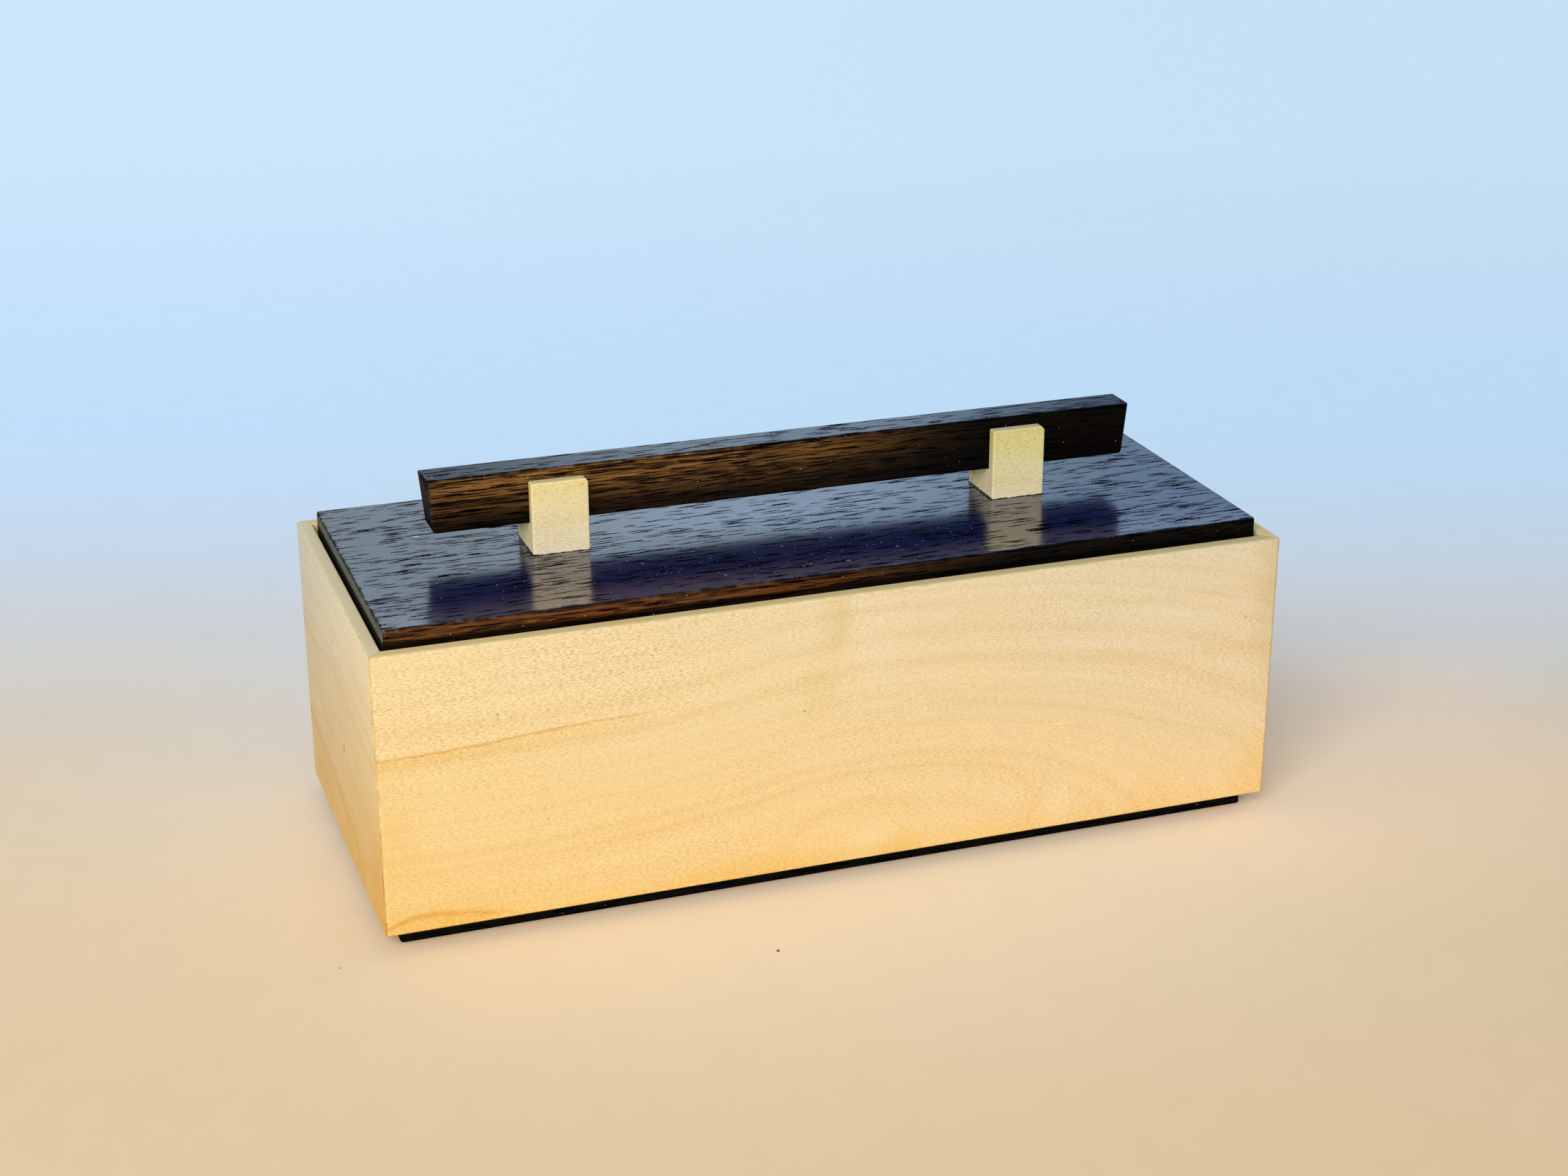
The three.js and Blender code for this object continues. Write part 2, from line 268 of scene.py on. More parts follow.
def open_pores(graph, given):
    """Open wenge pores on faces that run along the grain: 1 in a pore, 0 between them."""
    parts = graph.split(given["Place"])
    sway = graph.less(graph.noise(given["Place"], (60, 25, 25), detail=1.0), 0.5)
    swayed = graph.plus(parts["Y"], parts["Z"], graph.times(sway, 3.0))
    along = graph.over(parts["X"], given["Length"])
    distance, tint = graph.cells(along, graph.over(swayed, given["Spacing"]))
    chances = graph.split(tint)
    ragged = graph.noise(given["Place"], (0.9, 0.3, 0.3), detail=1.0)
    reach = graph.times(given["Width"], graph.plus(0.45, graph.times(chances["Y"], 0.75)))
    reach = graph.times(reach, graph.between(ragged, 0.2, 0.8, 0.65, 1.35))
    inside = graph.between(distance, graph.times(reach, 0.7), reach, 1.0, 0.0)
    return {"Pore": graph.times(inside, graph.math("LESS_THAN", chances["Z"], given["Share"]))}


def wood_streaks(graph, given):
    """Long streaks of lighter and darker wood along the grain: from 0 to 1."""
    parts = graph.split(given["Place"])
    along = graph.over(parts["X"], given["Length"])
    across = graph.over(parts["Y"], given["Spacing"])
    through = graph.over(parts["Z"], given["Spacing"])
    streaks = graph.noise(graph.join(along, across, through), detail=4.0, roughness=0.62, distortion=0.5)
    return {"Streak": graph.between(streaks, 0.3, 0.7)}


def dust_specks(graph, given):
    """Sparse motes of dust on faces that run along the grain: 1 on a mote."""
    parts = graph.split(given["Place"])
    across = graph.over(graph.plus(parts["Y"], parts["Z"]), given["Spacing"])
    distance, tint = graph.cells(graph.over(parts["X"], given["Spacing"]), across)
    chances = graph.split(tint)
    size = graph.times(graph.over(given["Size"], given["Spacing"]), graph.plus(0.4, chances["Y"]))
    inside = graph.between(distance, graph.times(size, 0.6), size, 1.0, 0.0)
    return {"Mote": graph.times(inside, graph.math("LESS_THAN", chances["Z"], given["Share"]))}


def arris_wear(graph, given):
    """Rubbing along the edges of a piece that fills the space between two corners: 1 on an edge."""
    above = graph.split(graph.vector("SUBTRACT", given["Place"], given["Low corner"]))
    below = graph.split(graph.vector("SUBTRACT", given["High corner"], given["Place"]))
    x, y, z = (graph.math("MINIMUM", above[axis], below[axis]) for axis in "XYZ")
    nearer = graph.math("MINIMUM", x, y)
    farther = graph.math("MAXIMUM", x, y)
    to_edge = graph.math("MAXIMUM", nearer, graph.math("MINIMUM", farther, z))
    patchy = graph.noise(given["Place"], (2.85714, 2.85714, 2.85714), detail=3.0)
    width = graph.times(given["Width"], graph.between(patchy, 0.3, 0.7, 0.3, 1.3))
    return {"Wear": graph.between(to_edge, 0.0, width, 1.0, 0.0)}


def soft_mark(graph, given):
    """One mark at a given place, hard or soft at its edge: 1 inside it."""
    from_middle = graph.vector("SUBTRACT", given["Place"], given["Middle"])
    away = graph.vector("LENGTH", graph.vector("DIVIDE", from_middle, given["Half size"]), ORIGIN)
    return {"Mark": graph.between(away, given["Core"], 1.0, 1.0, 0.0)}


TONES = effect_group("Board tones", board_tones, {
    "Along": 0.0, "Up": 0.0, "Low start": COLOUR, "Low end": COLOUR, "High start": COLOUR,
    "High end": COLOUR})
RINGS = effect_group("Growth rings", growth_rings, {
    "Place": ORIGIN, "Crown": 0.0, "Droop": 8.7, "Dome": 0.42, "Droop reach": 45.0, "Waver": 1.6})
LINE = effect_group("Growth line", growth_line, {
    "Place": ORIGIN, "Line height": 0.0, "Width": 0.8, "Shade depth": 6.0})
RIPPLE = effect_group("Ripple figure", ripple_figure, {
    "Place": ORIGIN, "Lay": 0.0, "Length": 1.1, "Spacing": 0.24})
PORES = effect_group("Open pores", open_pores, {
    "Place": ORIGIN, "Length": 9.0, "Spacing": 0.9, "Width": 0.3, "Share": 0.5})
STREAKS = effect_group("Wood streaks", wood_streaks, {
    "Place": ORIGIN, "Length": 60.0, "Spacing": 2.0})
DUST = effect_group("Dust specks", dust_specks, {
    "Place": ORIGIN, "Spacing": 2.5, "Size": 0.12, "Share": 0.2})
WEAR = effect_group("Arris wear", arris_wear, {
    "Place": ORIGIN, "Low corner": ORIGIN, "High corner": ORIGIN, "Width": 0.8})
MARK = effect_group("Soft mark", soft_mark, {
    "Place": ORIGIN, "Middle": ORIGIN, "Half size": (1, 1, 1), "Core": 0.4})


# Materials


def new_material(name):
    """A new node material, with its graph and its shader."""
    material = bpy.data.materials.new(name)
    material.use_nodes = True
    material.node_tree.nodes.clear()
    graph = Graph(material.node_tree)
    shader = graph.add("ShaderNodeBsdfPrincipled")
    graph.add("ShaderNodeOutputMaterial", {"Surface": shader.outputs[0]})
    return material, graph, shader


def place_in_mm(graph):
    """The point's place on the box at rest, in millimetres."""
    place = graph.add("ShaderNodeTexCoord").outputs["Object"]
    return graph.vector("DIVIDE", place, (MM, MM, MM))


def board_place(graph, place, along, up, through, face):
    """The same place as a board has it: along the grain, up its face, and in from that face."""
    parts = graph.split(place)
    return graph.join(parts[along], parts[up], graph.less(parts[through], face))


def corners_in_mm(node):
    """The lowest and the highest corner of a piece, in millimetres."""
    low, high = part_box(node)
    return tuple(low / MM), tuple(high / MM)


def dress(graph, shader, colour, roughness, relief, depth):
    """Feeds what changes over a surface. Its relief is depth deep, in millimetres."""
    bump = {"Height": relief, "Distance": depth * MM, "Strength": 1.0}
    graph.feed(shader.inputs["Base Color"], colour)
    graph.feed(shader.inputs["Roughness"], roughness)
    graph.feed(shader.inputs["Normal"], graph.add("ShaderNodeBump", bump).outputs["Normal"])


# Half the length of a mark along the way it goes through: more than any piece has
THROUGH = 1000.0


def mark_at(graph, place, middle, half_size, core=0.4):
    """One soft mark: 1 inside it."""
    return graph.effect(MARK, place, middle, half_size, core)["Mark"]


def through_mark(graph, place, middle, half_size, core):
    """A mark that goes right through a board, or the floor."""
    return mark_at(graph, place, (*middle, 0.0), (*half_size, THROUGH), core)


# Tints of the wood, as shares of its own red, green and blue
LATE_WOOD = (0.93, 0.86, 0.72)
EARLY_WOOD = (1.03, 1.05, 1.10)
DARK_FLECK = (0.78, 0.70, 0.53)
LIGHT_FLECK = (1.09, 1.15, 1.30)
RING_LINE = (0.86, 0.66, 0.38)
RING_SHADE = (0.98, 0.91, 0.74)
DARKER_EDGE = (0.72, 0.64, 0.44)
LIGHTER_EDGE = (1.12, 1.14, 1.22)

# Sizes in mm, and shares of the full effect
RING_SPACING = 4.5
PATCH_DRIFT = 9.0
RIM_FROM = 0.25
RIM_FULL = 0.02
EDGE_SHARE = 0.6
RIM_SHARE = 0.85
MARK_SHARE = 0.8
FIGURE_SHARE = 0.4
FLECK_DEPTH = 0.03
ROUGH_BETWEEN_FLECKS = 0.66
ROUGH_ON_FLECKS = 0.5
OIL_SHINE = 0.3


def board_tone(graph, board, along, up, tones):
    """The board's slow change of tone from corner to corner, a little cloudy."""
    parts = graph.split(board)
    cloud = graph.noise(board, (50, 20, 20), detail=3.0)
    height = graph.plus(graph.share(parts["Y"], *up), graph.times(graph.less(cloud, 0.5), 0.5))
    corners = [srgb(*tone) for tone in tones]
    return graph.effect(TONES, graph.share(parts["X"], *along), height, *corners)["Tone"]


def ring_bands(graph, colour, ring):
    """Soft bands of late and early wood that stay faint."""
    bands = graph.noise_along(graph.over(ring, RING_SPACING), detail=3.0, roughness=0.6)
    colour = graph.tinted(graph.between(bands, 0.44, 0.7, 0.0, 0.36), colour, LATE_WOOD)
    return graph.tinted(graph.between(bands, 0.46, 0.28, 0.0, 0.4), colour, EARLY_WOOD)


def broad_patches(graph, colour, board, patches):
    """Patches of another tone, wavered so that they have no plain outline."""
    drift = graph.less(graph.noise(board, (9, 9, 9)), 0.5)
    drifted = graph.vector("ADD", board, graph.join(graph.times(drift, PATCH_DRIFT), 0.0, 0.0))
    for middle, half_size, tint, strength in patches:
        patch = through_mark(graph, drifted, middle, half_size, core=0.0)
        colour = graph.tinted(graph.times(patch, strength), colour, tint)
    return colour


def late_wood_lines(graph, colour, board, lines):
    """Late-wood lines drawn where this board has them, each fading at its ends."""
    along = graph.split(board)["X"]
    for points, width, shade_depth, strength, fade_in, fade_out in lines:
        line = graph.effect(LINE, board, graph.drawn_line(along, points), width, shade_depth)
        start, end = points[0][0], points[-1][0]
        fade = graph.times(
            graph.between(along, start - 0.1, start + fade_in),
            graph.between(along, end - fade_out, end + 0.1, 1.0, 0.0),
            strength,
        )
        colour = graph.tinted(graph.times(line["Shade"], fade, 0.9), colour, RING_SHADE)
        colour = graph.tinted(graph.times(line["Line"], fade), colour, RING_LINE)
    return colour


def rippled(graph, colour, board, ripple, figured):
    """Dark and light flecks, stronger where the board is figured. The stronger place is partly painted
    light, where the flecks catch the light most.
    """
    figure = graph.between(graph.noise(board, (50, 30, 30)), 0.35, 0.65, 0.4, 0.65)
    if figured:
        strongest = through_mark(graph, board, *figured, core=0.2)
        figure = graph.plus(figure, graph.times(strongest, FIGURE_SHARE))
    for turned_to, tint in ((-1.0, DARK_FLECK), (1.0, LIGHT_FLECK)):
        share = graph.times(graph.between(ripple, 0.0, turned_to), figure)
        colour = graph.tinted(share, colour, tint)
    return colour


def maple_board(name, node, axes, face, tones, crown=0.0, droop=0.0, lines=(), patches=(), marks=(),
                figured=None, rim=None, edge=DARKER_EDGE, edge_width=0.7):
    """Oiled maple: cream to amber, with rings, flecks, late-wood lines, patches and small marks."""
    material, graph, shader = new_material(name)
    place = place_in_mm(graph)
    board = board_place(graph, place, *axes, face)
    low, high = corners_in_mm(node)
    along, up = ((low["XYZ".index(axis)], high["XYZ".index(axis)]) for axis in axes[:2])
    rings = graph.effect(RINGS, board, crown, droop)
    ripple = graph.effect(RIPPLE, board, rings["Lay"])["Ripple"]

    colour = board_tone(graph, board, along, up, tones)
    colour = ring_bands(graph, colour, rings["Ring"])
    colour = broad_patches(graph, colour, board, patches)
    colour = late_wood_lines(graph, colour, board, lines)
    colour = rippled(graph, colour, board, ripple, figured)
    for middle, half_size, tint in marks:
        mark = mark_at(graph, place, middle, half_size)
        colour = graph.mix(graph.times(mark, MARK_SHARE), colour, tint)
    worn = graph.effect(WEAR, place, low, high, edge_width)["Wear"]
    colour = graph.tinted(graph.times(worn, EDGE_SHARE), colour, edge)
    # The darker top edge is partly painted shade.
    if rim:
        top = graph.between(graph.split(place)["Z"], high[2] - RIM_FROM, high[2] - RIM_FULL)
        rim_tone = graph.mix(graph.share(graph.split(board)["X"], *along), srgb(*rim[0]), srgb(*rim[1]))
        colour = graph.mix(graph.times(top, RIM_SHARE), colour, rim_tone)

    roughness = graph.between(ripple, -1.0, 1.0, ROUGH_BETWEEN_FLECKS, ROUGH_ON_FLECKS)
    relief = graph.plus(graph.times(ripple, 0.5), 0.5)
    dress(graph, shader, colour, roughness, relief, FLECK_DEPTH)
    shader.inputs["Specular IOR Level"].default_value = OIL_SHINE
    return material


# Tones of the wenge; the blue fibre tone is a painted sheen of the room on the top
FIBRE_SHEEN_TONE = srgb(12, 30, 88)
FLAME_TONE = srgb(142, 62, 26)
PORE_BLACK = srgb(2, 3, 7)
PAINTED_EDGE_SHADE = srgb(5, 6, 9)
MOTE_TONE = srgb(225, 214, 208)

# Length and spacing of its streaks, in mm
COARSE_STREAKS = (30.0, 0.9)
FINE_STREAKS = (9.0, 0.3)
FIBRES = (2.2, 0.2)

# Length, spacing and width of its pores, in mm, then the share of them kept on the sides and on the top
SHORT_PORES = ((7.0, 0.7, 0.56), (0.3, 0.32))
LONG_PORES = ((24.0, 0.9, 0.36), (0.12, 0.16))
END_PORES = (0.4, 0.3, 0.3, 0.5)
SIDE_PORE_SQUEEZE = 1.9

# Spacing and size of the dust on it, in mm
MOTES = (2.2, 0.13)
FLAKES = (5.0, 0.26)
FLAKE_TEAR = 2.4

# Other lengths in mm, and shares of the full effect
TOP_FROM = 0.25
TOP_FULL = 0.05
FRONT_SHEEN_FROM = 15.0
FRONT_SHEEN_FULL = 2.0
EDGE_WIDTH = 1.1
PORE_DEPTH = 0.12
BROWN_LEAST = 0.06
FLAME_SHARE = 0.45
GAP_SHADE_SHARE = 0.9
CLOUD_SHARE = 0.12
FIBRE_SHARE = 0.4
PAINTED_SHEEN_SHARE = 0.9
PORE_SHARE = 0.97
EDGE_SHADE_AND_WEAR_SHARE = 0.9
MOTE_SHARE = 0.7
DUSTY_SHARE = 0.26
FLAKE_SHARE = 0.5
SHINE_IN_PORES = 0.02
SHINE_ON_FIBRES = 0.82
SHINE_WHERE_MOTTLED = 0.92
SHINE_ON_SIDES = 0.025
ROUGH_WOOD = 0.45
ROUGH_PORES = 0.9

# The satin finish over all of it
SATIN_ROUGHNESS = 0.17
SATIN_INDEX = 3.6


def brown_sides(graph, place, coarse, fine, dark, brown, brown_along, brown_up, flames):
    """Brown streaks towards one end and the upper edge of the sides, with a few redder flames. The fade to
    near black towards the other end is partly painted shade.
    """
    parts = graph.split(place)
    browner = graph.times(
        graph.between(parts["X"], *brown_along),
        graph.between(parts["Z"], *brown_up, BROWN_LEAST, 1.0),
    )
    share = graph.times(graph.between(graph.plus(coarse, fine), 0.35, 1.7), browner)
    colour = graph.mix(share, dark, brown)
    for middle, half_size in flames:
        flame = graph.times(mark_at(graph, place, middle, half_size), coarse, FLAME_SHARE)
        colour = graph.mix(flame, colour, FLAME_TONE)
    return colour


def top_with_painted_sheen(graph, place, front, fibre, top_tone_and_sheen, front_sheen_tone, painted_sheen):
    """The top's tone, a dark blue that paints the sheen of the room, with a painted purple sheen towards
    its front edge and a paler painted sheen in one place.
    """
    # Painted sheen: purple towards the front edge of the top.
    front_sheen = graph.between(graph.split(place)["Y"], front + FRONT_SHEEN_FROM, front + FRONT_SHEEN_FULL)
    clouded = graph.noise(place, (11, 7, 7), detail=3.0)
    ground = graph.mix(graph.between(clouded, 0.42, 0.66, 0.0, CLOUD_SHARE), top_tone_and_sheen, front_sheen_tone)
    sheened = graph.mix(front_sheen, ground, front_sheen_tone)
    colour = graph.mix(graph.times(fibre, FIBRE_SHARE), sheened, FIBRE_SHEEN_TONE)
    # Painted sheen: a paler patch of the room's reflection on the top.
    if painted_sheen:
        middle, half_size, tint = painted_sheen
        sheen_patch = mark_at(graph, place, middle, half_size, core=0.2)
        colour = graph.mix(graph.times(sheen_patch, PAINTED_SHEEN_SHARE), colour, tint)
    return colour


def pore_cover(graph, place, top, end):
    """Long and short pores along the grain, and small ones on the left end."""
    parts = graph.split(place)
    upright = graph.vector("MULTIPLY", place, (1.0, 1.0, SIDE_PORE_SQUEEZE))
    short, long = (
        graph.effect(PORES, upright, *sizes, graph.between(top, 0.0, 1.0, *shares))["Pore"]
        for sizes, shares in (SHORT_PORES, LONG_PORES)
    )
    along = graph.math("MAXIMUM", short, long)
    across = graph.effect(PORES, graph.join(parts["Y"], parts["Z"], 0.0), *END_PORES)["Pore"]
    return graph.plus(graph.times(along, graph.less(1.0, end)), graph.times(across, end))


def settled_dust(graph, place, top, end, motes, dusty):
    """Motes of dust, thicker in one place, and a few torn flakes on the top."""
    parts = graph.split(place)
    share = motes
    if dusty:
        thick = mark_at(graph, place, *dusty, core=0.3)
        share = graph.plus(graph.times(thick, DUSTY_SHARE), motes)
    torn = graph.times(graph.noise(place, (0.714286, 0.454545, 0.454545)), FLAKE_TEAR)
    askew = graph.join(graph.plus(parts["X"], torn), parts["Y"], parts["Z"])
    flake = graph.effect(DUST, askew, *FLAKES, graph.times(share, FLAKE_SHARE))["Mote"]
    mote = graph.effect(DUST, place, *MOTES, share)["Mote"]
    return graph.times(graph.math("MAXIMUM", mote, graph.times(flake, top)), graph.less(1.0, end))


def satin_finish(graph, place, low, high, top, dull, fibre, satin, dull_ends):
    """How strongly the finish shines: less in pores, over fibres, on the sides and towards the ends."""
    from_middle = graph.math("ABSOLUTE", graph.less(graph.split(place)["X"], (low[0] + high[0]) / 2))
    mottled = graph.noise(place, (1.1, 0.5, 0.5), detail=4.0, roughness=0.7)
    return graph.times(
        graph.between(dull, 0.0, 1.0, 1.0, SHINE_IN_PORES),
        graph.between(fibre, 0.1, 0.9, 1.0, SHINE_ON_FIBRES),
        graph.between(mottled, 0.32, 0.68, SHINE_WHERE_MOTTLED, 1.0),
        graph.between(from_middle, 0.25 * high[0], high[0], 1.0, dull_ends),
        graph.between(top, 0.0, 1.0, SHINE_ON_SIDES, satin),
    )


def wenge(name, node, top_tone_and_sheen, front_sheen_tone, end_tone_and_sheen, dark, brown, brown_along, brown_up, satin, motes,
          end_depth=0.3, flames=(), chips=(), dull_ends=1.0, dusty=None, foot=None, painted_sheen=None):
    """Wenge under a satin finish: dark wood, brown streaks on its sides, open pores and a little dust."""
    material, graph, shader = new_material(name)
    place = place_in_mm(graph)
    parts = graph.split(place)
    low, high = corners_in_mm(node)
    end = graph.between(parts["X"], low[0] + end_depth, low[0] + end_depth * 0.5)
    top = graph.between(parts["Z"], high[2] - TOP_FROM, high[2] - TOP_FULL)
    coarse, fine, fibre = (
        graph.effect(STREAKS, place, *sizes)["Streak"] for sizes in (COARSE_STREAKS, FINE_STREAKS, FIBRES)
    )

    colour = brown_sides(graph, place, coarse, fine, dark, brown, brown_along, brown_up, flames)
    # The end tone is partly painted sheen: grey-green on the lid, grey-blue on the bar.
    colour = graph.mix(graph.times(end, graph.plus(0.4, graph.times(fine, 0.6))), colour, end_tone_and_sheen)
    # Painted shade: the edge darkens towards its foot, where the gap round the lid lies in shadow.
    if foot:
        colour = graph.mix(graph.between(parts["Z"], *foot, GAP_SHADE_SHARE, 0.0), colour, dark)
    # Painted sheen: the top's dark blue tone stands for the room's reflection.
    colour = graph.mix(top, colour, top_with_painted_sheen(graph, place, low[1], fibre, top_tone_and_sheen, front_sheen_tone, painted_sheen))
    pore = pore_cover(graph, place, top, end)
    colour = graph.mix(graph.times(pore, PORE_SHARE), colour, PORE_BLACK)
    # Painted shade: a black line along the arrises; the same band dulls the worn finish.
    wear = graph.times(graph.effect(WEAR, place, low, high, EDGE_WIDTH)["Wear"], EDGE_SHADE_AND_WEAR_SHARE)
    colour = graph.mix(wear, colour, PAINTED_EDGE_SHADE)
    chipped = settled_dust(graph, place, top, end, motes, dusty)
    colour = graph.mix(graph.times(chipped, MOTE_SHARE), colour, MOTE_TONE)
    for middle, half_size, tint in chips:
        chip = mark_at(graph, place, middle, half_size)
        colour = graph.mix(chip, colour, tint)
        chipped = graph.math("MAXIMUM", chipped, chip)

    dull = graph.math("MAXIMUM", pore, graph.math("MAXIMUM", chipped, wear))
    relief = graph.less(graph.times(fine, 0.06), pore)
    roughness = graph.between(dull, 0.0, 1.0, ROUGH_WOOD, ROUGH_PORES)
    dress(graph, shader, colour, roughness, relief, PORE_DEPTH)
    shine = satin_finish(graph, place, low, high, top, dull, fibre, satin, dull_ends)
    graph.feed(shader.inputs["Coat Weight"], shine)
    shader.inputs["Specular IOR Level"].default_value = 0.0
    shader.inputs["Coat Roughness"].default_value = SATIN_ROUGHNESS
    shader.inputs["Coat IOR"].default_value = SATIN_INDEX
    return material


def brass(name):
    """Turned brass: fine rings of tool marks, a little tarnish."""
    material, graph, shader = new_material(name)
    place = place_in_mm(graph)
    tarnish = graph.noise(place, (1.42857, 1.42857, 1.42857), detail=4.0)
    colour = graph.mix(graph.between(tarnish, 0.4, 0.7), srgb(214, 178, 98), srgb(160, 122, 62))
    marks = graph.noise(place, (0.5, 0.5, 0.0714286))
    dress(graph, shader, colour, graph.between(tarnish, 0.3, 0.7, 0.26, 0.48), marks, 0.01)
    shader.inputs["Metallic"].default_value = 1.0
    return material


def dried_glue(name):
    """Hard glue squeezed out at the feet of the blocks: nearly black over the wenge, and glossy."""
    material, graph, shader = new_material(name)
    place = place_in_mm(graph)
    cloud = graph.noise(place, (0.714286, 0.714286, 0.714286), detail=3.0)
    colour = graph.mix(cloud, srgb(3, 6, 5), srgb(18, 30, 22))
    dress(graph, shader, colour, graph.between(cloud, 0.3, 0.7, 0.14, 0.35), cloud, 0.05)
    shader.inputs["Specular IOR Level"].default_value = 0.4
    return material


def glue_amber(name):
    """The film of glue in the mitres, as amber as the oiled wood beside it."""
    material, graph, shader = new_material(name)
    place = place_in_mm(graph)
    cloud = graph.noise(place, (1, 1, 2), detail=4.0, roughness=0.65)
    upper = graph.mix(graph.between(cloud, 0.4, 0.62), srgb(222, 200, 142), srgb(198, 168, 104))
    lower = graph.mix(graph.between(cloud, 0.4, 0.62), srgb(214, 156, 84), srgb(170, 110, 50))
    colour = graph.mix(graph.between(graph.split(place)["Z"], 50.0, 10.0), upper, lower)
    dress(graph, shader, colour, graph.between(cloud, 0.3, 0.7, 0.4, 0.7), cloud, 0.05)
    return material


def set_material(node, material):
    """Gives a CAD node one material on all its faces."""
    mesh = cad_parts[node].data
    for index in range(len(mesh.materials)):
        mesh.materials[index] = material
    if not mesh.materials:
        mesh.materials.append(material)


def add_object(name, mesh, material):
    """Turns finished mesh work into an object of the scene."""
    data = bpy.data.meshes.new(name)
    mesh.to_mesh(data)
    mesh.free()
    data.materials.append(material)
    made = bpy.data.objects.new(name, data)
    bpy.context.scene.collection.objects.link(made)
    return made


# Walls

SPECK = srgb(112, 74, 38)
SCRATCH = srgb(252, 230, 188)
AMBER = (0.99, 0.89, 0.62)
SMUDGE = (0.93, 0.90, 0.78)
PALE = (1.03, 1.05, 1.12)
PAINTED_SHADE_AT_END = (0.88, 0.86, 0.78)

# Points (along, up), width, depth of the shade under it, strength, and how it fades in and out, in mm
FRONT_LINES = [
    ([(-127, 54.3), (-103, 55.1), (-80, 56.7), (-60, 57.4), (-50, 58), (-40, 58.8)],
     0.7, 8, 0.95, 0, 38),
    ([(-94, 71.4), (-34, 75.4), (0, 78), (33, 74.7), (60, 71.4), (93, 69.4), (127, 69.4)],
     1.8, 4, 0.1, 40, 0),
    ([(50, 60), (65, 58), (100, 52), (127, 51.4)], 1.8, 4, 0.12, 25, 0),
    ([(12, 52), (46, 45.4), (73, 39.4), (100, 30), (113, 25.4), (122, 21)], 2.2, 7, 0.12, 25, 12),
    ([(-83, 22.7), (-31, 26), (-8, 31), (8, 31.4), (40, 28), (49, 23.4), (55, 16), (59, 6)],
     1.8, 5, 0.13, 30, 4),
    ([(-22, 9), (-8, 20), (6, 22.7), (16, 20), (24, 10)], 2, 4, 0.14, 8, 5),
    ([(-127, 6.7), (-119, 9.4), (-106, 8.4), (-90, 6)], 1.2, 5, 0.8, 0, 12),
]

# Middle and half size (along, up), tint and strength
FRONT_PATCHES = [
    ((-4, 76), (7, 16), SMUDGE, 0.9),
    ((-9, 58), (9, 14), SMUDGE, 0.5),
    ((7, 66), (12, 20), PALE, 0.7),
    # Painted warm bounce and shade along the foot of the board.
    ((0, 4), (900, 9), AMBER, 0.6),
    ((-30, 7), (34, 9), AMBER, 0.7),
    ((16, 8), (9, 8), AMBER, 0.6),
    ((54, 12), (5, 12), AMBER, 0.4),
    ((92, 10), (10, 12), AMBER, 0.4),
    ((124, 14), (12, 18), AMBER, 0.7),
    ((-126, 34), (18, 22), AMBER, 0.45),
    ((-112, 7), (24, 7), AMBER, 0.7),
    ((6, 10.7), (9, 7), PALE, 1),
    ((62, 13), (6, 12), PALE, 0.8),
    ((90, 62), (34, 9), PALE, 0.6),
    # Painted shade towards the right end of the board.
    ((127, 70), (11, 52), PAINTED_SHADE_AT_END, 1),
]

# Middle and half size on the box at rest, and tone
FRONT_MARKS = [
    ((-95.2, -52.7, 62.9), (0.22, 2, 0.55), SPECK),
    ((117.8, -52.7, 60.2), (0.6, 2, 0.35), srgb(168, 136, 92)),
    ((-12.8, -52.7, 51.4), (0.4, 2, 0.4), srgb(172, 128, 74)),
    ((61.8, -52.7, 36.4), (2.8, 2, 0.3), SCRATCH),
]

LEFT_LINES = [
    ([(-52.7, 51.9), (-21, 54.7), (-1.5, 57.5), (19, 55.9), (35, 53.9), (52.7, 53.9)],
     3, 14, 0.3, 0, 0),
    ([(-28, 5), (-24, 8.3), (-18, 13.9), (-3, 17.5), (12, 21.5), (27, 23.1), (52.7, 26.3)],
     3.6, 20, 0.4, 3, 0),
    ([(-24, 29), (-4, 37), (12, 36), (30, 38), (52.7, 42)], 1.6, 5, 0.15, 8, 6),
]
LEFT_PATCHES = [
    ((-17, 64), (9, 9), (1.04, 1.02, 1.06), 0.7),
    ((-46, 12), (16, 24), AMBER, 1),
    ((34, 13), (30, 13), (0.95, 0.87, 0.68), 0.7),
    ((38, 33), (18, 8), PALE, 1),
]
LEFT_MARKS = [
    ((-126.4, -37.8, 82.7), (0.3, 1.3, 0.5), SPECK),
    ((-127, -5.5, 37.9), (2, 1.2, 1.6), srgb(158, 124, 78)),
    ((-127, 1.6, 66.3), (2, 1.2, 0.8), srgb(178, 150, 112)),
]

front_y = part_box("front_wall")[0].y / MM
back_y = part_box("back_wall")[1].y / MM
left_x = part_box("left_wall")[0].x / MM
right_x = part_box("right_wall")[1].x / MM

# Corner tones: low start, low end, high start, high end. The warmer feet, paler cooler tops and greyer far
# ends are partly painted light.
LONG_TONES = ((242, 206, 132), (245, 213, 160), (241, 218, 168), (223, 210, 180))
SHORT_TONES = ((230, 182, 88), (222, 188, 124), (248, 229, 188), (210, 208, 192))
# Tones of the top edges, darker than the faces below them: partly painted shade.
WARM_RIM = (230, 201, 138)
COOL_RIM = (201, 184, 127)

